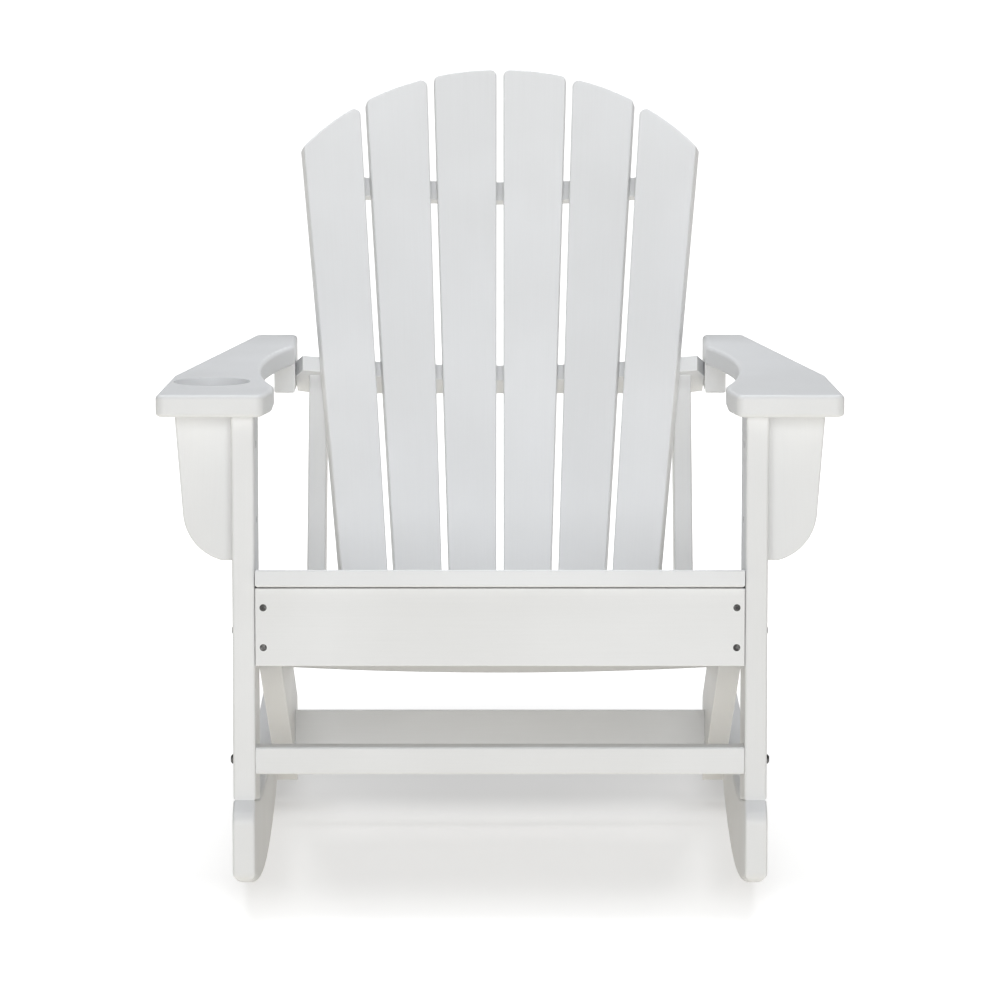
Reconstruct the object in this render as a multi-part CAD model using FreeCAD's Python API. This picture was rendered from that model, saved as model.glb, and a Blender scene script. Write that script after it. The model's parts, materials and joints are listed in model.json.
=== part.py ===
import FreeCAD, Part
import math
import os

# Rocking adirondack chair of solid moulded boards.
# Millimetres. Seen from the front, +X is to the right, +Y runs back and +Z is up.
# The origin is on the floor, in the middle of the chair's depth and width.
# Every piece is first made with the legs upright and their front faces at y = 0. At the end
# the whole chair leans back on its rockers to where it balances.
# Left and right in the names are as seen from the front.

os.makedirs("parts", exist_ok=True)

V = FreeCAD.Vector
X_AXIS = V(1, 0, 0)
Y_AXIS = V(0, 1, 0)
Z_AXIS = V(0, 0, 1)

# Board stock
frame_board = 25.0            # thickness of legs, rockers, stringers, arms, brackets and cleats
slat_board = 19.0             # thickness of slats, rails, apron and spreader
edge_round = 3.0              # rounded edges of the frame boards
arm_round = 5.0               # rounded edges of the arms
slat_round = 2.5              # rounded edges of the slats
fit_gap = 0.5                 # side clearance of a piece that goes between two others

# Plan of the seat and legs; side-view distances run back from the front face of the legs
seat_opening = 547.0          # between the inner faces of the front legs
leg_depth = 118.0
arm_top = 587.0               # height of the arms' top faces

# Rockers
rocker_length = 815.0
rocker_nose = 27.0            # how far a rocker runs in front of the leg
rocker_radius = 1180.0        # radius of the running edge
rocker_contact = 286.0        # from the leg's front face to the middle of the running edge's arc
rest_lean = 3.06              # degrees that the chair leans back where it balances
rocker_seat_front = 128.0     # height of the leg's foot at its front corner
rocker_seat_back = 106.0      # and at its back corner
rocker_dip = 97.0             # lowest height of the top edge
rocker_dip_place = 240.0      # where that is, and where the straight stretch to the tail starts
rocker_rise_place = 400.0
rocker_rise = 103.0           # height of the top edge there
tail_thickness = 9.0          # from the running edge up to the top edge, at the tail
nose_drop = 14.0              # how far the nose is below the leg's foot
nose_top_round = 16.0
nose_bottom_round = 12.0
tail_round = 4.0
runner_round = 8.0            # rounded edges of the running edge

# Seat
slat_count = 5
slat_width = 86.0
slat_gap = 8.0
seat_front_z = 370.7          # underside of the first slat at its front edge
seat_overhang = 8.0           # first slat in front of the legs
slat_slopes = (12.0, 17.0, 20.0, 22.0)   # slope of each seat slat but the last
recline = 25.0                # slope of the last seat slat, and how far the back leans
stringer_width = 97.5         # across the stringer, square to its slope
stringer_front_low = 285.0    # underside of its level front stretch
stringer_end = 590.0          # from the leg's front face
stringer_lift = 4.5           # stringer's lower end above the rocker's running edge
stringer_end_round = 14.0

# Apron, rung and spreader
apron_height = 88.0
apron_gap = 1.2               # slit between the apron and the first slat
rung_height = 31.0
rung_depth = 25.0
rung_bottom = 156.0
rung_setback = 5.0
spreader_height = 64.0
spreader_place = 203.0        # along the stringer's lower edge, back from the last seat slat

# Back
back_place = 106.3            # along the stringer from the last slat's front edge to the slats' backs
back_slat_count = 6
back_slat_gap = 10.0
back_length = 755.0           # from the stringers to the top of the arch
arch_radius = 325.0           # of the fan's top
fan_pitch = 1.81              # degrees between one slat and the next, in the back's plane
fan_apex = 2026.0             # how far below the stringers the slats' lines meet
back_radius = 750.0           # how the back is hollowed, at the middle rail
slat_corner = 8.0             # corner radius at the top of a slat
seat_back_gap = 5.0           # between the last seat slat and the back slats

# Back rails, uprights and cleats
lower_rail_depth = 52.0
lower_rail_back_radius = 1290.0
middle_rail_depth = 52.0
middle_rail_place = 355.5     # underside of the rail, up the back
upper_rail_drop = 166.0       # underside of the upper rail, below the top of the arch
upper_rail_height = 24.0
upper_rail_depth = 16.0
upper_rail_half = 214.0
rail_end_start = 224.0        # half width where a rail's front edge starts to fall back
rail_end_fall = 20.0
rail_corner_cut = 10.0        # off the middle rail's rear corners
upright_thickness = 22.0
upright_depth = 60.0
upright_inner = 210.0         # from the middle of the chair
upright_front = -20.0         # from the backs of the middle slats
cleat_height = 40.0
cleat_front = 556.0
cleat_back = 652.0

# Arms
arm_overhang = 25.0           # arm's front edge in front of the leg
arm_outer_front = 381.5
arm_outer_shoulder = 372.0
arm_shoulder = 178.0
arm_outer_back = 298.0
arm_back = 622.0
arm_inner_back = 247.0
arm_inner_front = 262.5
arm_inner_nose = 253.5
scallop_front = 75.0
scallop_middle = 275.7
scallop_back = 490.0
arm_corner = 10.0
cup_radius = 43.0
cup_depth = 16.0
cup_x = 325.0                 # middle of the cup recess, from the middle of the chair
cup_y = 110.0

# Brackets under the arms
bracket_top = 66.0            # width under the arm
bracket_height = 170.0
bracket_waist = 56.9          # width where the round corner starts
bracket_straight = 118.0      # how far down the outer edge runs straight
bracket_curve = (0.768, 0.887)   # middle of the round corner, as shares of that width and the height
bracket_foot = 14.0           # width at the lower end

# Fasteners
hole_gap = 0.1                # between a fastener and its hole
screw_radius = 2.25
screw_head_radius = 4.0
screw_head_height = 2.6
screw_rim = 0.4               # straight part of a countersunk head
screw_socket = 1.5            # half the hexagon's width across corners
bolt_radius = 3.0
bolt_head_radius = 5.3
bolt_head_height = 3.3
bolt_crown = 0.6              # flat top of a button head, as a share of its radius
bolt_socket = 2.3
pan_radius = 3.9
pan_height = 2.4
nut_radius = 5.8
nut_height = 5.0
nut_spare = 3.0               # bolt's end beyond its nut
washer_radius = 6.5
washer_height = 1.4
barrel_radius = 5.0
barrel_length = 18.0
barrel_inset = 25.0           # from the rung's end
barrel_spare = 3.0            # bolt's end beyond its barrel nut
lag_head_radius = 6.0
lag_head_height = 4.0
lag_length = 110.0
lag_bite = 42.0               # of the lag screw, in the leg
lag_places = (36.0, 88.0)     # behind the leg's front face
seat_screw_length = 42.0
seat_screw_inset = 15.0       # from a seat slat's edges
front_slat_screw = 60.0       # first screw of the front seat slat, clear of the apron's screws
front_slat_inset = 10.0       # second one, from the slat's back edge
long_screw_length = 50.0
slat_screw_length = 44.0
upper_screw_length = 26.0
slat_screw_cover = 4.0        # slat left in front of a screw's tip
slat_screw_share = 0.5        # how far out on a slat's half width its screws are
rail_pocket = 70.0            # long enough to open every screw's pocket at the rails' rear edges
rail_screw_edge = 8.0         # least distance from a screw to a rail's end
apron_screw_inset = 9.5       # from the leg's inner face
apron_screw_drops = (22.0, 67.0)          # below the apron's top edge
leg_bolt_place = (59.0, 311.0)            # distance behind the leg's front face, and height
leg_screw_places = ((55.5, 346.0), (85.0, 297.0))
rocker_bolt_places = ((533.0, 88.0), (570.0, 78.0))
spreader_screw_shares = (0.25, 0.75)      # up the spreader
pocket_screws = (22.0, 58.0)              # up into the arm, behind the leg's front face
pocket_drop = 30.0            # a pocket screw's head, below the arm
pocket_cover = 1.0            # between that head and the leg's inner face
pocket_slant = 20.0           # degrees from upright
pocket_length = 30.0          # of the groove below the head
arm_bite = 16.0               # of the screws that go up into an arm
arm_cleat_screws = (14.0, 32.0)           # behind the cleat's front face
bracket_screw_drops = (40.0, 125.0)       # below the arm
rail_end_screws = (1.0, 29.0)             # behind the backs of the middle slats
rail_stringer_screws = (-10.0, 12.0)
upright_screw = 6.0

leg_inner = seat_opening / 2
leg_outer = leg_inner + frame_board
stringer_inner = leg_inner - frame_board
arm_under = arm_top - frame_board
upper_rail_place = back_length - upper_rail_drop
SIDES = (("left", -1), ("right", 1))

parallel = 0.9999             # cosine above which two directions count as one
near = 0.01                   # distance below which two points count as one

pieces = {}


def side(y, z, x=0.0):
    """A point given by its distance behind the legs' front faces and its height."""
    return V(x, y, z)


def flat(x, y, z=0.0):
    """A point in plan."""
    return V(x, y, z)


def face(place, start, *steps):
    """A flat face from a start point and steps: one point for a line, two for an arc."""
    edges = []
    last = place(*start)
    for step in steps + ((start,),):
        points = [place(*point) for point in step]
        if len(points) == 1:
            if last.distanceToPoint(points[0]) > near:
                edges.append(Part.makeLine(last, points[0]))
        else:
            edges.append(Part.Arc(last, points[0], points[1]).toShape())
        last = points[-1]
    return Part.Face(Part.Wire(edges))


def rounded(solid, radius, normal):
    """Round the edges around both big faces of a board; normal is across the board."""
    edges = []
    for big in solid.Faces:
        middle = big.ParameterRange
        direction = big.normalAt((middle[0] + middle[1]) / 2, (middle[2] + middle[3]) / 2)
        if big.Surface.TypeId == "Part::GeomPlane" and abs(direction.dot(normal)) > parallel:
            edges.extend(big.Edges)
    return solid.makeFillet(radius, edges)


def corners(solid, radius, spots, axis):
    """Round the edges that run along axis through the given points."""
    chosen = []
    for edge in solid.Edges:
        if edge.Curve.TypeId != "Part::GeomLine":
            continue
        ends = [vertex.Point for vertex in edge.Vertexes]
        run = ends[1].sub(ends[0])
        if run.Length < near or abs(run.normalize().dot(axis)) < parallel:
            continue
        for spot in spots:
            offset = spot.sub(ends[0])
            if offset.sub(axis * offset.dot(axis)).Length < near:
                chosen.append(edge)
                break
    return solid.makeFillet(radius, chosen)


def mirror(solid, sign):
    """The piece as built for the right side, or its mirror image for the left."""
    if sign > 0:
        return solid
    return solid.mirror(V(0, 0, 0), X_AXIS)


def hexagon(radius, depth):
    points = [V(radius * math.cos(math.radians(60 * i)), radius * math.sin(math.radians(60 * i)), 0)
              for i in range(7)]
    return Part.Face(Part.makePolygon(points)).extrude(V(0, 0, depth))


def aimed(solid, point, direction):
    """Move a piece modelled on +Z so that its origin is at point and +Z points along direction."""
    turned = solid.copy()
    turned.Placement = FreeCAD.Placement(point, FreeCAD.Rotation(Z_AXIS, direction))
    return turned


def revolved(profile):
    """A round solid about Z from (radius, height) points."""
    points = [V(radius, 0, height) for radius, height in profile]
    points.append(points[0])
    return Part.Face(Part.makePolygon(points)).revolve(V(0, 0, 0), Z_AXIS, 360)


def screw(length):
    """A countersunk wood screw, its head's top at the origin, pointing along +Z."""
    tip = 2 * screw_radius
    body = revolved([(0, 0), (screw_head_radius, 0), (screw_head_radius, screw_rim),
                     (screw_radius, screw_head_height), (screw_radius, length - tip), (0, length)])
    return body.cut(hexagon(screw_socket, screw_head_height / 2))


def screw_hole(length, sink=0.0):
    """The hole for a screw, with a pocket behind a head that is sunk below the surface."""
    head = screw_head_radius + hole_gap
    shank = screw_radius + hole_gap
    return revolved([(0, -sink), (head, -sink), (head, screw_rim + hole_gap),
                     (shank, screw_head_height + hole_gap), (shank, length + hole_gap),
                     (0, length + hole_gap)])


def headed(length, radius, head_radius, head_height, socket, tip=0.0):
    """A fastener whose head stands behind the origin, its shank pointing along +Z."""
    low = -head_height
    body = revolved([(0, low), (head_radius * bolt_crown, low), (head_radius, low / 2),
                     (head_radius, 0), (radius, 0), (radius, length - tip), (0, length)])
    opening = hexagon(socket, head_height / 2)
    opening.translate(V(0, 0, low))
    return body.cut(opening)


def shank_hole(length, radius):
    return Part.makeCylinder(radius + hole_gap, length + hole_gap)


def add(node, solid, point, direction):
    pieces.setdefault(node, []).append(aimed(solid, point, direction))


def drill(names, hole, point, direction):
    for name in names:
        pieces[name] = pieces[name].cut(aimed(hole, point, direction))


def drive(node, names, length, point, direction, sink=0.0):
    """Put a countersunk screw in a group and drill the pieces that it goes through."""
    add(node, screw(length), point, direction)
    drill(names, screw_hole(length, sink), point, direction)


def nut_and_washer(point, direction):
    """A nut on its washer, against a face whose outward direction is given."""
    bore = Part.makeCylinder(bolt_radius + hole_gap, washer_height + nut_height)
    add("washers", Part.makeCylinder(washer_radius, washer_height).cut(bore), point, direction)
    nut = hexagon(nut_radius, nut_height)
    nut.translate(V(0, 0, washer_height))
    add("nuts", nut.cut(bore), point, direction)


# Seat line: the underside of each seat slat, as seen from the side

slopes = slat_slopes + (recline,)
slat_starts = [(-seat_overhang, seat_front_z)]
for slope in slat_slopes:
    y, z = slat_starts[-1]
    run = slat_width + slat_gap
    slat_starts.append((y + run * math.cos(math.radians(slope)), z - run * math.sin(math.radians(slope))))
rail_line = slat_starts[-1]                  # the straight edge of the stringer starts here
lean = math.radians(recline)


def down_stringer(distance, drop=0.0):
    """Distance down the stringer's straight edge from the last seat slat, and square below it."""
    return (rail_line[0] + distance * math.cos(lean) - drop * math.sin(lean),
            rail_line[1] - distance * math.sin(lean) - drop * math.cos(lean))


def seat_line(y):
    """Height of the slats' underside at a distance behind the legs' front faces."""
    for index in range(len(slat_starts) - 1, -1, -1):
        if y >= slat_starts[index][0] or index == 0:
            start = slat_starts[index]
            return start[1] - (y - start[0]) * math.tan(math.radians(slopes[index]))


def lower_line(y):
    """Height of the stringer's lower edge."""
    start = down_stringer(0, stringer_width)
    return start[1] - (y - start[0]) * math.tan(lean)


def running_edge(y):
    """Height of the rocker's running edge."""
    return rocker_radius - math.sqrt(rocker_radius ** 2 - (y - rocker_contact) ** 2)


# The back's own frame: x across, y back along the stringer's edge, z up the back.
# The slats lie on a cone, so each is the middle one turned about the cone's axis.

back_foot = down_stringer(back_place)
back_frame = FreeCAD.Placement(side(*back_foot), FreeCAD.Rotation(X_AXIS, -recline))
cone_angle = math.atan(back_radius / (fan_apex + middle_rail_place))
cone_axis = V(0, -math.sin(cone_angle), math.cos(cone_angle))
slat_turn = fan_pitch / math.sin(cone_angle)


def slat_place(index):
    """Placement of a back slat in the back's frame; index 0 is the leftmost."""
    turn = (index - (back_slat_count - 1) / 2) * slat_turn
    apex = V(0, 0, -fan_apex)
    spin = FreeCAD.Rotation(cone_axis, -turn)
    return FreeCAD.Placement(apex.sub(spin.multVec(apex)), spin)


def in_back(solid):
    """Move a piece from the back's frame to the chair's."""
    moved = solid.copy()
    moved.Placement = back_frame.multiply(moved.Placement)
    return moved


def back_point(x, y, z):
    return back_frame.multVec(V(x, y, z))


def runner_ring():
    """A half disc as thick as a rocker, on the running edge's arc and rounded along it."""
    centre = side(rocker_contact, rocker_radius, leg_inner)
    disc = Part.makeCylinder(rocker_radius, frame_board, centre, X_AXIS)
    rims = [edge for edge in disc.Edges if edge.Curve.TypeId == "Part::GeomCircle"]
    return disc.makeFillet(runner_round, rims)


def make_rockers():
    tail = rocker_length - rocker_nose
    tail_low = running_edge(tail)
    tail_top = tail_low + tail_thickness
    nose_low = running_edge(-rocker_nose)
    nose_top = rocker_seat_front - nose_drop
    shape = face(
        side, (0, rocker_seat_front),
        ((leg_depth, rocker_seat_back),),
        ((rocker_dip_place, rocker_dip), (rocker_rise_place, rocker_rise)),
        ((tail, tail_top),),
        ((tail, tail_low),),
        ((rocker_contact, 0), (-rocker_nose, nose_low)),
        ((-rocker_nose, nose_top),),
    )
    solid = shape.extrude(X_AXIS * frame_board)
    solid.translate(X_AXIS * leg_inner)
    solid = corners(solid, nose_top_round, [side(-rocker_nose, nose_top)], X_AXIS)
    solid = corners(solid, nose_bottom_round, [side(-rocker_nose, nose_low)], X_AXIS)
    solid = corners(solid, tail_round, [side(tail, tail_top), side(tail, tail_low)], X_AXIS)
    solid = rounded(solid, edge_round, X_AXIS).common(runner_ring())
    for name, sign in SIDES:
        pieces[name + "_rocker"] = mirror(solid, sign)


def make_legs():
    shape = face(side, (0, rocker_seat_front), ((leg_depth, rocker_seat_back),),
                 ((leg_depth, arm_under),), ((0, arm_under),))
    solid = shape.extrude(X_AXIS * frame_board)
    solid.translate(X_AXIS * leg_inner)
    solid = rounded(solid, edge_round, X_AXIS)
    for name, sign in SIDES:
        pieces[name + "_front_leg"] = mirror(solid, sign)


def make_stringers():
    start = slat_board
    end_low = running_edge(stringer_end) + stringer_lift
    bend = stringer_end
    while lower_line(bend) < running_edge(bend) + stringer_lift:
        bend = bend - 1.0
    end_top = down_stringer((stringer_end - rail_line[0]) / math.cos(lean))
    outline = [((y, z),) for y, z in slat_starts[1:]]
    level = down_stringer(0, stringer_width)
    level_end = level[0] + (level[1] - stringer_front_low) / math.tan(lean)
    shape = face(side, (start, seat_line(start)), *outline, (end_top,), ((stringer_end, end_low),),
                 ((bend, lower_line(bend)),), ((level_end, stringer_front_low),),
                 ((start, stringer_front_low),))
    solid = shape.extrude(X_AXIS * frame_board)
    solid.translate(X_AXIS * stringer_inner)
    spots = [side(*end_top, stringer_inner), side(stringer_end, end_low, stringer_inner)]
    solid = corners(solid, stringer_end_round, spots, X_AXIS)
    for name, sign in SIDES:
        pieces[name + "_stringer"] = mirror(solid, sign)


def make_apron():
    half = leg_inner - fit_gap
    top = seat_line(0) - apron_gap
    back_top = seat_line(slat_board) - apron_gap
    shape = face(side, (0, top), ((slat_board, back_top),), ((slat_board, top - apron_height),),
                 ((0, top - apron_height),))
    solid = shape.extrude(X_AXIS * 2 * half)
    solid.translate(X_AXIS * -half)
    front_edges = []
    for edge in solid.Edges:
        if abs(edge.BoundBox.YMin) < near and edge.BoundBox.YLength < near:
            front_edges.append(edge)
    pieces["apron"] = solid.makeFillet(slat_round / 2, front_edges)


def make_rung():
    half = leg_inner - fit_gap / 2
    solid = Part.makeBox(2 * half, rung_depth, rung_height, side(rung_setback, rung_bottom, -half))
    edges = [edge for edge in solid.Edges if edge.BoundBox.XLength > half]
    pieces["front_rung"] = solid.makeFillet(edge_round, edges)


def make_spreader():
    half = stringer_inner - fit_gap / 2
    low = down_stringer(spreader_place, stringer_width)
    solid = Part.makeBox(2 * half, slat_board, spreader_height)
    edges = [edge for edge in solid.Edges if edge.BoundBox.XLength > half]
    solid = solid.makeFillet(slat_round, edges)
    solid.Placement = FreeCAD.Placement(side(*low, -half), FreeCAD.Rotation(X_AXIS, -recline))
    pieces["rear_spreader"] = solid


def fan_sagitta(half, z=0.0):
    """How far the hollow of the back comes forward at a half width and a height up the back."""
    radius = (fan_apex + z) * math.tan(cone_angle)
    return radius - math.sqrt(radius ** 2 - half ** 2)


fan_half = (fan_apex + slat_board) * math.tan(math.radians(fan_pitch * back_slat_count / 2)) + slat_gap
last_slat_end = back_place - slat_board - seat_back_gap - fan_sagitta(fan_half)


def make_seat():
    half = leg_inner - 2 * fit_gap
    last_width = back_place - slat_board - seat_back_gap
    for index in range(slat_count):
        if index < slat_count - 1:
            shape = face(flat, (-half, 0), ((half, 0),), ((half, slat_width),), ((-half, slat_width),))
        else:
            short = last_slat_end
            shape = face(flat, (-half, 0), ((half, 0),), ((half, short),), ((fan_half, short),),
                         ((0, last_width), (-fan_half, short)), ((-half, short),))
        solid = rounded(shape.extrude(Z_AXIS * slat_board), slat_round, Z_AXIS)
        y, z = slat_starts[index]
        solid.Placement = FreeCAD.Placement(side(y, z), FreeCAD.Rotation(X_AXIS, -slopes[index]))
        pieces["seat_slat_%d" % (index + 1)] = solid


def back_slat(index):
    """One tapered back slat with its part of the arch, in the back's frame."""
    angle = math.radians((index - (back_slat_count - 1) / 2) * fan_pitch)
    half_fan = math.tan(math.radians(fan_pitch / 2))
    reach = fan_apex + back_length - arch_radius
    centre = V(-reach * math.sin(angle), reach * math.cos(angle) - fan_apex, 0)

    def half_width(z):
        return (z + fan_apex) * half_fan - back_slat_gap / 2

    def top_at(sign):
        """Where a side of the slat meets the arch."""
        slope = sign * half_fan
        shift = sign * half_width(0) - centre.x
        square = 1 + slope ** 2
        linear = slope * shift - centre.y
        constant = shift ** 2 + centre.y ** 2 - arch_radius ** 2
        z = (math.sqrt(linear ** 2 - square * constant) - linear) / square
        return (sign * half_width(z), z)

    def front_view(x, z):
        return V(x, -slat_board, z)

    right = top_at(1)
    left = top_at(-1)
    middle_x = (right[0] + left[0]) / 2
    middle = (middle_x, centre.y + math.sqrt(arch_radius ** 2 - (middle_x - centre.x) ** 2))
    shape = face(front_view, (-half_width(0), 0), ((half_width(0), 0),), (right,), (middle, left))
    solid = shape.extrude(Y_AXIS * slat_board)
    solid = corners(solid, slat_corner, [front_view(*right), front_view(*left)], Y_AXIS)
    solid = rounded(solid, slat_round, Y_AXIS)
    solid.Placement = slat_place(index)
    return solid


def hollow_of_back():
    """The space in front of the slats' backs, which the rails leave free."""
    space = None
    wide = back_length
    for index in range(back_slat_count):
        block = Part.makeBox(2 * wide, wide, 2 * wide, V(-wide, -wide, -wide / 2))
        block.Placement = slat_place(index)
        space = block if space is None else space.common(block)
    return space


def make_back():
    for index in range(back_slat_count):
        pieces["back_slat_%d" % (index + 1)] = in_back(back_slat(index))
    hollow = hollow_of_back()
    reach = -fan_sagitta(leg_outer)

    half = leg_inner - fit_gap
    curl = lower_rail_back_radius - math.sqrt(lower_rail_back_radius ** 2 - half ** 2)
    end_front = rail_end_fall - fan_sagitta(rail_end_start)
    end_back = lower_rail_depth - curl
    shape = face(flat, (-rail_end_start, reach), ((rail_end_start, reach),), ((half, end_front),),
                 ((half, end_back),), ((0, lower_rail_depth), (-half, end_back)), ((-half, end_front),))
    solid = shape.extrude(Z_AXIS * slat_board).cut(hollow)
    pieces["lower_back_rail"] = in_back(solid)

    half = stringer_inner - fit_gap / 2
    end_front = rail_end_fall - fan_sagitta(rail_end_start, middle_rail_place)
    end_back = middle_rail_depth - rail_corner_cut
    shape = face(flat, (-rail_end_start, reach), ((rail_end_start, reach),), ((half, end_front),),
                 ((half, end_back),), ((rail_end_start, middle_rail_depth),),
                 ((-rail_end_start, middle_rail_depth),), ((-half, end_back),), ((-half, end_front),))
    solid = shape.extrude(Z_AXIS * slat_board)
    solid.translate(Z_AXIS * middle_rail_place)
    pieces["middle_back_rail"] = in_back(solid.cut(hollow))

    radius = (fan_apex + upper_rail_place) * math.tan(cone_angle) + upper_rail_depth
    curl = radius - math.sqrt(radius ** 2 - upper_rail_half ** 2)
    shape = face(flat, (-upper_rail_half, reach), ((upper_rail_half, reach),),
                 ((upper_rail_half, upper_rail_depth - curl),),
                 ((0, upper_rail_depth), (-upper_rail_half, upper_rail_depth - curl)))
    solid = shape.extrude(Z_AXIS * upper_rail_height)
    solid.translate(Z_AXIS * upper_rail_place)
    pieces["upper_back_rail"] = in_back(solid.cut(hollow))

    solid = Part.makeBox(upright_thickness, upright_depth, middle_rail_place - slat_board,
                         V(upright_inner, upright_front, slat_board))
    edges = [edge for edge in solid.Edges if edge.BoundBox.ZLength > slat_board]
    solid = in_back(solid.makeFillet(slat_round, edges))
    for name, sign in SIDES:
        pieces[name + "_back_upright"] = mirror(solid, sign)


def make_arms():
    shape = face(
        flat, (arm_inner_front, -arm_overhang),
        ((arm_outer_front, -arm_overhang),),
        ((arm_outer_shoulder, arm_shoulder),),
        ((arm_outer_back, arm_back),),
        ((arm_inner_back, arm_back),),
        ((arm_inner_back, scallop_back),),
        ((scallop_middle, (scallop_front + scallop_back) / 2), (arm_inner_nose, scallop_front)),
        ((arm_inner_nose, arm_overhang),),
    )
    solid = shape.extrude(Z_AXIS * frame_board)
    solid.translate(Z_AXIS * arm_under)
    spots = [flat(arm_inner_front, -arm_overhang), flat(arm_outer_front, -arm_overhang),
             flat(arm_outer_back, arm_back), flat(arm_inner_back, arm_back)]
    solid = corners(solid, arm_corner, spots, Z_AXIS)
    solid = rounded(solid, arm_round, Z_AXIS)
    pieces["right_arm"] = solid
    recess = Part.makeCylinder(cup_radius, cup_depth, flat(-cup_x, cup_y, arm_top - cup_depth))
    pieces["left_arm"] = mirror(solid, -1).cut(recess)


def make_brackets():
    def front_view(x, drop):
        return V(leg_outer + x, (leg_depth - frame_board) / 2, arm_under - drop)

    curve = (bracket_curve[0] * bracket_waist, bracket_curve[1] * bracket_height)
    shape = face(front_view, (0, 0), ((bracket_top, 0),), ((bracket_waist, bracket_straight),),
                 (curve, (bracket_foot, bracket_height)), ((0, bracket_height),))
    solid = rounded(shape.extrude(Y_AXIS * frame_board), slat_round, Y_AXIS)
    for name, sign in SIDES:
        pieces[name + "_arm_bracket"] = mirror(solid, sign)


def make_cleats():
    solid = Part.makeBox(frame_board, cleat_back - cleat_front, cleat_height,
                         side(cleat_front, arm_under - cleat_height, stringer_inner))
    low = [edge for edge in solid.Edges if edge.BoundBox.ZMax < arm_under - cleat_height + near]
    solid = solid.makeFillet(edge_round, low)
    for name, sign in SIDES:
        pieces[name + "_arm_cleat"] = mirror(solid, sign)


def fasten_seat():
    """Screws through the seat slats into the stringers, and through the apron."""
    middle = stringer_inner + frame_board / 2
    for index in range(slat_count):
        first = front_slat_screw if index == 0 else seat_screw_inset
        last = slat_width - (front_slat_inset if index == 0 else seat_screw_inset)
        if index == slat_count - 1:
            last = last_slat_end - seat_screw_inset
        place = FreeCAD.Placement(side(*slat_starts[index]), FreeCAD.Rotation(X_AXIS, -slopes[index]))
        down = place.Rotation.multVec(V(0, 0, -1))
        for name, sign in SIDES:
            for distance in (first, last):
                point = place.multVec(V(sign * middle, distance, slat_board))
                drive("seat_screws", ["seat_slat_%d" % (index + 1), name + "_stringer"],
                      seat_screw_length, point, down)
    top = seat_line(0) - apron_gap
    for name, sign in SIDES:
        for drop in apron_screw_drops:
            point = side(0, top - drop, sign * (leg_inner - apron_screw_inset))
            drive("apron_screws", ["apron", name + "_stringer"], seat_screw_length, point, Y_AXIS)


def fasten_frame():
    """Bolts, screws and lag screws that join legs, stringers, rockers, rung and spreader."""
    two_boards = 2 * frame_board
    through = two_boards + washer_height + nut_height + nut_spare
    rung_middle = (rung_setback + rung_depth / 2, rung_bottom + rung_height / 2)
    rung_bolt = frame_board + barrel_inset + barrel_radius + barrel_spare
    pan_length = two_boards - slat_screw_cover
    up_spreader = FreeCAD.Rotation(X_AXIS, -recline)
    for name, sign in SIDES:
        inward = V(-sign, 0, 0)
        bolted = [("leg_bolts", name + "_front_leg", leg_bolt_place)]
        bolted += [("rocker_bolts", name + "_rocker", place) for place in rocker_bolt_places]
        for node, outer, place in bolted:
            point = side(*place, sign * leg_outer)
            add(node, headed(through, bolt_radius, bolt_head_radius, bolt_head_height, bolt_socket),
                point, inward)
            drill([outer, name + "_stringer"], shank_hole(through, bolt_radius), point, inward)
            nut_and_washer(side(*place, sign * stringer_inner), inward)
        for place in leg_screw_places:
            point = side(*place, sign * leg_outer)
            add("leg_screws", headed(pan_length, screw_radius, pan_radius, pan_height, screw_socket,
                                     2 * screw_radius), point, inward)
            drill([name + "_front_leg", name + "_stringer"], shank_hole(pan_length, screw_radius),
                  point, inward)

        point = side(*rung_middle, sign * leg_outer)
        add("rung_bolts", headed(rung_bolt, bolt_radius, bolt_head_radius, bolt_head_height, bolt_socket),
            point, inward)
        drill([name + "_front_leg", "front_rung"], shank_hole(rung_bolt, bolt_radius), point, inward)
        foot = side(rung_middle[0], rung_middle[1] - barrel_length / 2, sign * (leg_inner - barrel_inset))
        cross = aimed(shank_hole(rung_bolt, bolt_radius), point, inward)
        pieces.setdefault("barrel_nuts", []).append(
            aimed(Part.makeCylinder(barrel_radius, barrel_length), foot, Z_AXIS).cut(cross))
        depth = foot.z + barrel_length - rung_bottom
        foot.z = rung_bottom
        drill(["front_rung"], shank_hole(depth, barrel_radius), foot, Z_AXIS)

        for y in lag_places:
            slope = (rocker_seat_front - rocker_seat_back) / leg_depth
            head = side(y, rocker_seat_front - y * slope + lag_bite - lag_length,
                        sign * (leg_inner + frame_board / 2))
            add("rocker_lag_screws", headed(lag_length, bolt_radius, lag_head_radius, lag_head_height,
                                            bolt_socket, 2 * bolt_radius), head, Z_AXIS)
            names = [name + "_rocker", name + "_front_leg"]
            drill(names, shank_hole(lag_length, bolt_radius), head, Z_AXIS)
            drill([name + "_rocker"], shank_hole(head.z, lag_head_radius), head, V(0, 0, -1))

        for share in spreader_screw_shares:
            low = side(*down_stringer(spreader_place, stringer_width), sign * leg_inner)
            point = low.add(up_spreader.multVec(V(0, slat_board / 2, share * spreader_height)))
            drive("spreader_screws", [name + "_stringer", "rear_spreader"], long_screw_length,
                  point, inward)


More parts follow.
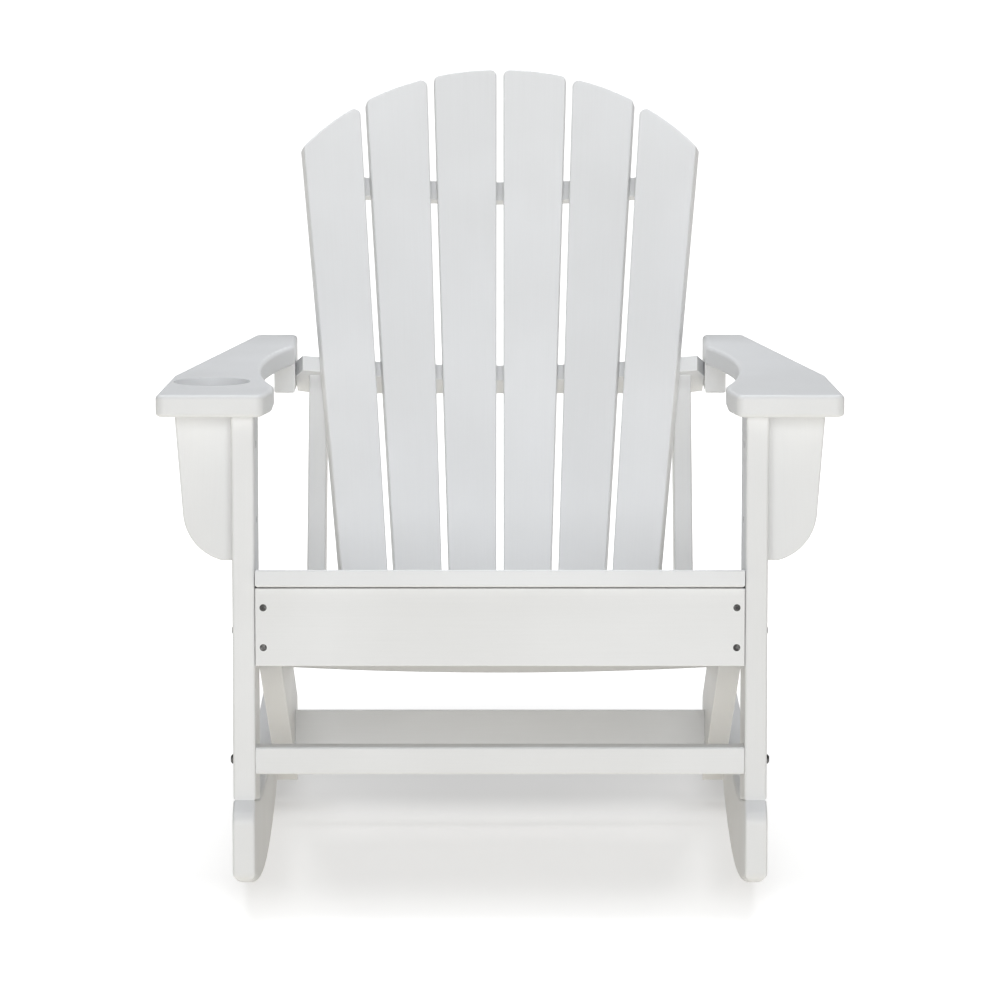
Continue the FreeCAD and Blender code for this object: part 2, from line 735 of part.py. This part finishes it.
def fasten_slats(rail, z, length, half):
    """Two screws through a back rail into each back slat, from behind, where the rail reaches."""
    for index in range(back_slat_count):
        place = slat_place(index)
        width = (z + fan_apex) * math.tan(math.radians(fan_pitch / 2)) - back_slat_gap / 2
        head = length + slat_screw_cover - slat_board
        for sign in (-1, 1):
            x = sign * slat_screw_share * width
            rise = z - place.multVec(V(x, head, z)).z
            point = place.multVec(V(x, head, z + rise))
            if abs(point.x) > half - rail_screw_edge:
                continue
            towards = place.Rotation.multVec(V(0, -1, 0))
            drive(rail + "_screws", [rail, "back_slat_%d" % (index + 1)], length,
                  back_frame.multVec(point), back_frame.Rotation.multVec(towards), rail_pocket)


def fasten_back():
    """Screws of the back rails, the uprights and the cleats."""
    across = slat_board / 2
    fasten_slats("lower_back_rail", across, slat_screw_length, leg_inner)
    fasten_slats("middle_back_rail", middle_rail_place + across, slat_screw_length, leg_inner)
    fasten_slats("upper_back_rail", upper_rail_place + upper_rail_height / 2, upper_screw_length,
                 upper_rail_half)
    up = back_frame.Rotation.multVec(Z_AXIS)
    down = up * -1
    for name, sign in SIDES:
        for y in rail_stringer_screws:
            point = back_point(sign * (stringer_inner + frame_board / 2), y, slat_board)
            drive("rail_stringer_screws", ["lower_back_rail", name + "_stringer"], long_screw_length,
                  point, down)
        x = sign * (upright_inner + upright_thickness / 2)
        upright = name + "_back_upright"
        drive("upright_screws", ["lower_back_rail", upright], long_screw_length,
              back_point(x, upright_screw, 0), up)
        drive("upright_screws", ["middle_back_rail", upright], long_screw_length,
              back_point(x, upright_screw, middle_rail_place + slat_board), down)
        for y in rail_end_screws:
            point = back_point(sign * leg_inner, y, middle_rail_place + across)
            drive("cleat_screws", [name + "_arm_cleat", "middle_back_rail"], long_screw_length,
                  point, V(-sign, 0, 0))


def fasten_arms():
    """Screws up into the arms, slanted from the legs and straight through the cleats, and
    out through the legs into the brackets."""
    slant = math.radians(pocket_slant)
    pocket_screw = (pocket_drop + arm_bite) / math.cos(slant)
    head_reach = (screw_head_radius + hole_gap) * math.cos(slant) + pocket_cover
    for name, sign in SIDES:
        arm = name + "_arm"
        up_and_out = V(sign * math.sin(slant), 0, math.cos(slant))
        for y in pocket_screws:
            point = flat(sign * (leg_inner + head_reach), y, arm_under - pocket_drop)
            drive("arm_screws", [arm, name + "_front_leg"], pocket_screw, point, up_and_out, pocket_length)
        under_cleat = sign * (stringer_inner + frame_board / 2)
        for y in arm_cleat_screws:
            drive("arm_screws", [arm, name + "_arm_cleat"], cleat_height + arm_bite,
                  flat(under_cleat, cleat_front + y, arm_under - cleat_height), Z_AXIS)
        for drop in bracket_screw_drops:
            drive("bracket_screws", [name + "_front_leg", name + "_arm_bracket"], seat_screw_length,
                  side(leg_depth / 2, arm_under - drop, sign * leg_inner), V(sign, 0, 0))


def stand_on_floor():
    """Lean the chair back on its rockers, and bring the middle of its depth to the origin."""
    turn = FreeCAD.Placement(V(0, 0, 0), FreeCAD.Rotation(X_AXIS, -rest_lean),
                             side(rocker_contact, rocker_radius))
    shapes = {}
    for node, content in pieces.items():
        shape = Part.makeCompound(content) if isinstance(content, list) else content.copy()
        shape.Placement = turn.multiply(shape.Placement)
        shapes[node] = shape
    boxes = [shape.optimalBoundingBox(False, False) for shape in shapes.values()]
    middle = (min(box.YMin for box in boxes) + max(box.YMax for box in boxes)) / 2
    for shape in shapes.values():
        shape.translate(V(0, -middle, 0))
    print("the legs' front faces were at y = 0; the origin is at y = %.2f" % middle)
    return shapes


make_rockers()
make_legs()
make_stringers()
make_apron()
make_rung()
make_spreader()
make_seat()
make_back()
make_arms()
make_brackets()
make_cleats()

fasten_seat()
fasten_frame()
fasten_back()
fasten_arms()

for node, shape in stand_on_floor().items():
    shape.exportStep("parts/%s.step" % node)
    box = shape.optimalBoundingBox(False, False)
    print("%-24s %2d solids, valid %s, %9.0f mm3, x %7.1f %7.1f  y %7.1f %7.1f  z %6.1f %6.1f" % (
        node, len(shape.Solids), shape.isValid(), shape.Volume,
        box.XMin, box.XMax, box.YMin, box.YMax, box.ZMin, box.ZMax))
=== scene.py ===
import bpy
import json
import math
import numpy as np
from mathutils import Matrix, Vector

# The rocking chair as it stands: white plastic boards, steel screws and bolts, a pale floor and
# soft light. Metres, in the model's own frame: -Y is the chair's front and +Z is up.

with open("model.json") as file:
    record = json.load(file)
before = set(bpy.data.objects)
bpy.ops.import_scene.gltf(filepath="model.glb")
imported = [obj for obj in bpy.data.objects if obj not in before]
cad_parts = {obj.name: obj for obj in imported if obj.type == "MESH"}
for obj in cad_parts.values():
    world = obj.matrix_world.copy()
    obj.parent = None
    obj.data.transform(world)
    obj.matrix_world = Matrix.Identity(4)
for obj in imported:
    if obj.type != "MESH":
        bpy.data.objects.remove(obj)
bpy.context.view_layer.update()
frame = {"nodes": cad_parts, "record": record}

# Camera: the photograph's place, worked out from the chair's own perspective
CAMERA_AIM = Vector((0.0, -0.3684, 0.4833))
CAMERA_DISTANCE = 6.0
CAMERA_PITCH = math.radians(10.80)
CAMERA_LENS = 194.4                      # in millimetres, like the sensor
SENSOR_WIDTH = 36.0
CAMERA_REACH = 100.0                     # far enough to see the floor's end

# Boards: white plastic lumber
BOARD_WHITE = (0.800, 0.805, 0.810)      # the paler end of its tone
BOARD_SHADE = (0.740, 0.743, 0.743)      # and the duller one
EDGE_HIGHLIGHT_WHITE = (0.850, 0.853, 0.852)       # painted highlight along the rounded edges, paler than the board
TONE_SPREAD = 0.012                      # from one board to the next
TONE_TURN = 2.4                          # in radians, so that neighbours differ
CLOUD_SIZE = 0.16                        # of slow changes in tone and level
CLOUD_STEPS = (0.3, 0.7)                 # where a cloud starts and is full
CLOUD_SHARE = 0.55                       # of the tone's changes
FIBRE_SHARE = 0.45
FIBRE_WIDTH = 0.0020                     # of the fine lines along a board
FIBRE_LENGTH = 0.085
FIBRE_SHIFT = 3.7                        # along the board, so that no two boards are alike
FIBRE_HEIGHT = 0.00010
SKIN_SIZE = 0.0035                       # of the moulded skin's pebbling
SKIN_HEIGHT = 0.00004
WAVE_HEIGHT = 0.0006
BOARD_BUMP = 0.6
BOARD_ROUGHNESS = 0.46
FIBRE_ROUGHNESS = 0.14                   # how much it changes over the fibres
EDGE_REACH = 0.0035                      # of the band of painted highlight along an edge
EDGE_SAMPLES = 6
EDGE_TURN = (0.01, 0.16)                 # how far the surface turns where the painted highlight starts and is full
EDGE_HIGHLIGHT_LEVEL = 0.55                         # of painted highlight on an edge everywhere
EDGE_HIGHLIGHT_PATCHES = 0.45                      # and what the clouds add to that painted highlight
EDGE_HIGHLIGHT_SMOOTHING = 0.08                       # how much smoother the edge band with the painted highlight is

# Screws and bolts: dull stainless steel
STEEL = (0.115, 0.112, 0.108)
STEEL_DARK = (0.035, 0.034, 0.033)
PATCH_SIZE = 0.004                       # of the darker patches
PATCH_STEPS = (0.35, 0.65)               # where a paler patch starts and is full
STEEL_ROUGHNESS = 0.42
STEEL_BUMP = 0.5
TURNING_SIZE = 0.0006                    # of the marks that a lathe leaves
TURNING_HEIGHT = 0.00002
TURNING_ROUGHNESS = 0.2

# Floor and backdrop
FLOOR_HALF = 30.0
FLOOR_TONE = (0.80, 0.765, 0.69)         # as the chair sees it
FLOOR_BOUNCE = 0.36                      # what it gives off besides, like a floor that is lit all over
FLOOR_SEEN = (0.57, 0.565, 0.56)         # how much of the light on the floor the camera sees
FLOOR_GLOW = 0.51                        # what is added to that, so that lit floor is plain white
GLOW_BESIDE = 0.10                       # more of it on both sides of the chair
GLOW_BEFORE = 0.28                       # and in front
GLOW_FAR = 0.60                          # and all round it, further off
PAINTED_SHADOW_GLOW_CUT = 0.26                         # less of the glow under the seat's rear, which paints a darker shadow there
SHADOW_SIDES = (0.27, 0.335)             # where the shadow fades into white, to each side
SHADOW_FRONT = (0.16, 0.44)              # and to the front
SHADOW_REAR = (0.08, 0.24)               # where that painted shadow deepens towards the rear
SHADOW_END = (0.36, 0.55)                # and where the painted shadow ends
FAR_REACH = (0.62, 1.20)                 # where the plain white surroundings start

# Light: a dim room, one lamp in front of the chair and one above it
WHITE = (1.0, 1.0, 1.0)
STUDIO_TONE = (0.965, 0.98, 1.0)         # of the room and of both lamps
STUDIO_STRENGTH = 0.14
LAMP_AIM = Vector((0.0, -0.05, 0.4))     # the middle of the seat's front
LAMPS = (                                # name, place, side of its square, power in watts
    ("lamp_front", (0.0, -7.2, 2.0), 2.6, 230.0),
    ("lamp_above", (0.0, 0.6, 4.2), 4.0, 144.0),
)


class Value:
    """A colour, vector or number in a material. Sums and products of values add their nodes."""

    def __init__(self, tree, socket):
        self.tree = tree
        self.socket = socket

    def feed(self, target, source):
        if isinstance(source, Value):
            self.tree.links.new(source.socket, target)
        else:
            target.default_value = source

    def node(self, kind, output, inputs, **settings):
        """The named output of any new node, with its inputs and settings."""
        made = self.tree.nodes.new(kind)
        for name, setting in settings.items():
            setattr(made, name, setting)
        for name, source in inputs.items():
            self.feed(made.inputs[name], source)
        return Value(self.tree, made.outputs[output])

    def maths(self, operation, *terms):
        return self.node("ShaderNodeMath", 0, dict(enumerate(terms)), operation=operation)

    def __add__(self, other):
        return self.maths("ADD", self, other)

    def __radd__(self, other):
        return self.maths("ADD", other, self)

    def __sub__(self, other):
        return self.maths("SUBTRACT", self, other)

    def __rsub__(self, other):
        return self.maths("SUBTRACT", other, self)

    def __mul__(self, other):
        return self.maths("MULTIPLY", self, other)

    def __rmul__(self, other):
        return self.maths("MULTIPLY", other, self)

    def along(self, direction):
        """How far this place or direction reaches along another direction."""
        return self.node("ShaderNodeVectorMath", "Value", {0: self, 1: direction}, operation="DOT_PRODUCT")

    def moved(self, step):
        """This place, moved by a step."""
        return self.node("ShaderNodeVectorMath", 0, {0: self, 1: step}, operation="ADD")

    def noise(self, size, detail=2.0):
        """Soft random values from 0 to 1, with bumps of that size."""
        return self.node("ShaderNodeTexNoise", "Fac",
                         {"Vector": self, "Scale": 1.0 / size, "Detail": detail})

    def kept(self, low, high):
        """0 below low, 1 above high and smooth between."""
        return self.node("ShaderNodeMapRange", "Result",
                         {"Value": self, "From Min": low, "From Max": high},
                         interpolation_type="SMOOTHSTEP")

    def blend(self, first, second):
        """From the first colour to the second as this value goes from 0 to 1."""
        return self.node("ShaderNodeMix", 2, {0: self, 6: rgba(first), 7: rgba(second)}, data_type="RGBA")

    def raised(self, strength):
        """The surface's normal with this height in metres on it."""
        return self.node("ShaderNodeBump", 0, {"Height": self, "Distance": 1.0, "Strength": strength})

    def ray(self, kind):
        """1 for that kind of light ray, 0 for all others."""
        return self.node("ShaderNodeLightPath", kind, {})


def rgba(colour):
    """A colour that a node takes: a named tone gets its alpha, a value stays as it is."""
    return colour if isinstance(colour, Value) else (*colour, 1.0)


def new_material(name):
    """A fresh material, and a value for the place on the object."""
    material = bpy.data.materials.new(name)
    material.use_nodes = True
    coordinates = material.node_tree.nodes.new("ShaderNodeTexCoord")
    return material, Value(material.node_tree, coordinates.outputs["Object"])


def set_looks(material, place, looks):
    """Feed the material's shader, input by input."""
    shader = material.node_tree.nodes["Principled BSDF"]
    for name, look in looks.items():
        place.feed(shader.inputs[name], look)


def grain_directions(thing):
    """The long, the cross and the thin direction of a board, from the spread of its points."""
    flat = np.empty(3 * len(thing.data.vertices))
    thing.data.vertices.foreach_get("co", flat)
    points = flat.reshape(-1, 3)
    spread, directions = np.linalg.eigh(np.cov((points - points.mean(axis=0)).T))
    order = np.argsort(spread)[::-1]
    return [tuple(float(part) for part in directions[:, column]) for column in order]


def fibre_lines(thing, place, number):
    """Fine lines along this board, drawn out lengthwise and different on each board."""
    length, width, thickness = (place.along(direction) for direction in grain_directions(thing))
    across = FIBRE_LENGTH / FIBRE_WIDTH
    drawn = place.node("ShaderNodeCombineXYZ", 0,
                       {0: length + FIBRE_SHIFT * number, 1: width * across, 2: thickness * across})
    return drawn.noise(FIBRE_LENGTH, detail=3.0)


def painted_edge_highlight(place, cloud):
    """Painted highlight: 0 on a board's faces, and up to 1 along its rounded edges."""
    rounded = place.node("ShaderNodeBevel", 0, {"Radius": EDGE_REACH}, samples=EDGE_SAMPLES)
    face = place.node("ShaderNodeNewGeometry", "Normal", {})
    turned = 1.0 - rounded.along(face)
    return turned.kept(*EDGE_TURN) * (EDGE_HIGHLIGHT_LEVEL + EDGE_HIGHLIGHT_PATCHES * cloud)


def board_material(thing, number):
    """White plastic lumber whose fine fibre lines run along this board, with a painted highlight along its
    edges.
    """
    material, place = new_material("lumber_" + thing.name)
    fibre = fibre_lines(thing, place, number)
    cloud = place.moved((number, 0.0, 0.0)).noise(CLOUD_SIZE)
    skin = place.noise(SKIN_SIZE, detail=1.0)
    edge_highlight = painted_edge_highlight(place, cloud)

    shift = TONE_SPREAD * math.sin(TONE_TURN * number)
    white = [tone + shift for tone in BOARD_WHITE]
    shade = [tone + shift for tone in BOARD_SHADE]
    body = (CLOUD_SHARE * cloud.kept(*CLOUD_STEPS) + FIBRE_SHARE * fibre).blend(shade, white)
    relief = FIBRE_HEIGHT * fibre + SKIN_HEIGHT * skin + WAVE_HEIGHT * cloud
    set_looks(material, place, {
        # painted highlight: the rounded edges get a paler colour
        "Base Color": edge_highlight.blend(body, EDGE_HIGHLIGHT_WHITE),
        "Roughness": BOARD_ROUGHNESS + FIBRE_ROUGHNESS * (fibre - 0.5) - EDGE_HIGHLIGHT_SMOOTHING * edge_highlight,
        "Normal": relief.raised(BOARD_BUMP),
    })
    return material


def steel_material(thing):
    """Dull stainless steel with faint turning marks and darker patches."""
    material, place = new_material("steel_" + thing.name)
    marks = place.noise(TURNING_SIZE, detail=3.0)
    patches = place.noise(PATCH_SIZE)
    set_looks(material, place, {
        "Base Color": patches.kept(*PATCH_STEPS).blend(STEEL_DARK, STEEL),
        "Roughness": STEEL_ROUGHNESS + TURNING_ROUGHNESS * (marks - 0.5),
        "Normal": (TURNING_HEIGHT * marks).raised(STEEL_BUMP),
        "Metallic": 1.0,
    })
    return material


def dress_chair():
    """Give every piece of the chair its finish."""
    slots = {part["node"]: part["material_slot"] for part in frame["record"]["subparts"]}
    for number, (name, thing) in enumerate(sorted(frame["nodes"].items())):
        if slots[name] == "fasteners":
            finish = steel_material(thing)
        else:
            finish = board_material(thing, number)
        thing.data.materials.clear()
        thing.data.materials.append(finish)


def floor_material():
    """A pale floor that the camera sees as white, apart from the chair's shadow, which painted shadow
    darkens further under the seat's rear.
    """
    material, place = new_material("floor")
    camera_ray = place.ray("Is Camera Ray")
    seen = camera_ray.maths("MAXIMUM", camera_ray, place.ray("Is Glossy Ray"))
    forward = place.along((0.0, -1.0, 0.0))
    back = place.along((0.0, 1.0, 0.0))
    sideways = place.along((1.0, 0.0, 0.0))
    away = place.node("ShaderNodeVectorMath", "Value", {0: place}, operation="LENGTH")

    beside = sideways.maths("ABSOLUTE", sideways).kept(*SHADOW_SIDES)
    before = forward.kept(*SHADOW_FRONT)
    # painted shadow: less glow on the floor under the seat's rear
    painted_shadow = back.kept(*SHADOW_REAR) * (1.0 - back.kept(*SHADOW_END)) * (1.0 - beside)
    glow = FLOOR_GLOW + GLOW_BESIDE * beside + GLOW_BEFORE * before - PAINTED_SHADOW_GLOW_CUT * painted_shadow
    glow = glow + GLOW_FAR * away.kept(*FAR_REACH)
    set_looks(material, place, {
        "Base Color": seen.blend(FLOOR_TONE, FLOOR_SEEN),
        "Emission Color": seen.blend(FLOOR_TONE, WHITE),
        "Emission Strength": seen * glow + FLOOR_BOUNCE * (1.0 - seen),
        "Roughness": 1.0,
        "Specular IOR Level": 0.0,
    })
    return material


def lay_floor():
    """One wide square under the chair."""
    mesh = bpy.data.meshes.new("floor")
    reach = FLOOR_HALF
    mesh.from_pydata([(-reach, -reach, 0), (reach, -reach, 0), (reach, reach, 0), (-reach, reach, 0)],
                     [], [(0, 1, 2, 3)])
    mesh.materials.append(floor_material())
    floor = bpy.data.objects.new("floor", mesh)
    bpy.context.scene.collection.objects.link(floor)


def light_room():
    """A dim, even room that the camera sees as white."""
    world = bpy.data.worlds.new("studio")
    world.use_nodes = True
    bpy.context.scene.world = world
    background = world.node_tree.nodes["Background"]
    start = Value(world.node_tree, background.outputs[0])
    seen = start.ray("Is Camera Ray")
    start.feed(background.inputs["Color"], seen.blend(STUDIO_TONE, WHITE))
    start.feed(background.inputs["Strength"], STUDIO_STRENGTH + (1.0 - STUDIO_STRENGTH) * seen)


def hang_lamps():
    """Large soft square lamps, each turned to the seat."""
    for name, place, size, power in LAMPS:
        lamp = bpy.data.lights.new(name, "AREA")
        lamp.shape = "SQUARE"
        lamp.size = size
        lamp.energy = power
        lamp.color = STUDIO_TONE
        holder = bpy.data.objects.new(name, lamp)
        holder.location = place
        aim = LAMP_AIM - holder.location
        holder.rotation_euler = aim.to_track_quat("-Z", "Y").to_euler()
        bpy.context.scene.collection.objects.link(holder)


def set_camera():
    """The photograph's view: a long lens, level from side to side, looking a little down."""
    lens = bpy.data.cameras.new("camera")
    lens.lens = CAMERA_LENS
    lens.sensor_width = SENSOR_WIDTH
    lens.clip_end = CAMERA_REACH
    camera = bpy.data.objects.new("camera", lens)
    back = Vector((0.0, -math.cos(CAMERA_PITCH), math.sin(CAMERA_PITCH)))
    camera.location = CAMERA_AIM + CAMERA_DISTANCE * back
    camera.rotation_euler = (math.pi / 2 - CAMERA_PITCH, 0.0, 0.0)
    bpy.context.scene.collection.objects.link(camera)
    bpy.context.scene.camera = camera


dress_chair()
lay_floor()
light_room()
hang_lamps()
set_camera()
bpy.context.scene.view_settings.view_transform = "Standard"
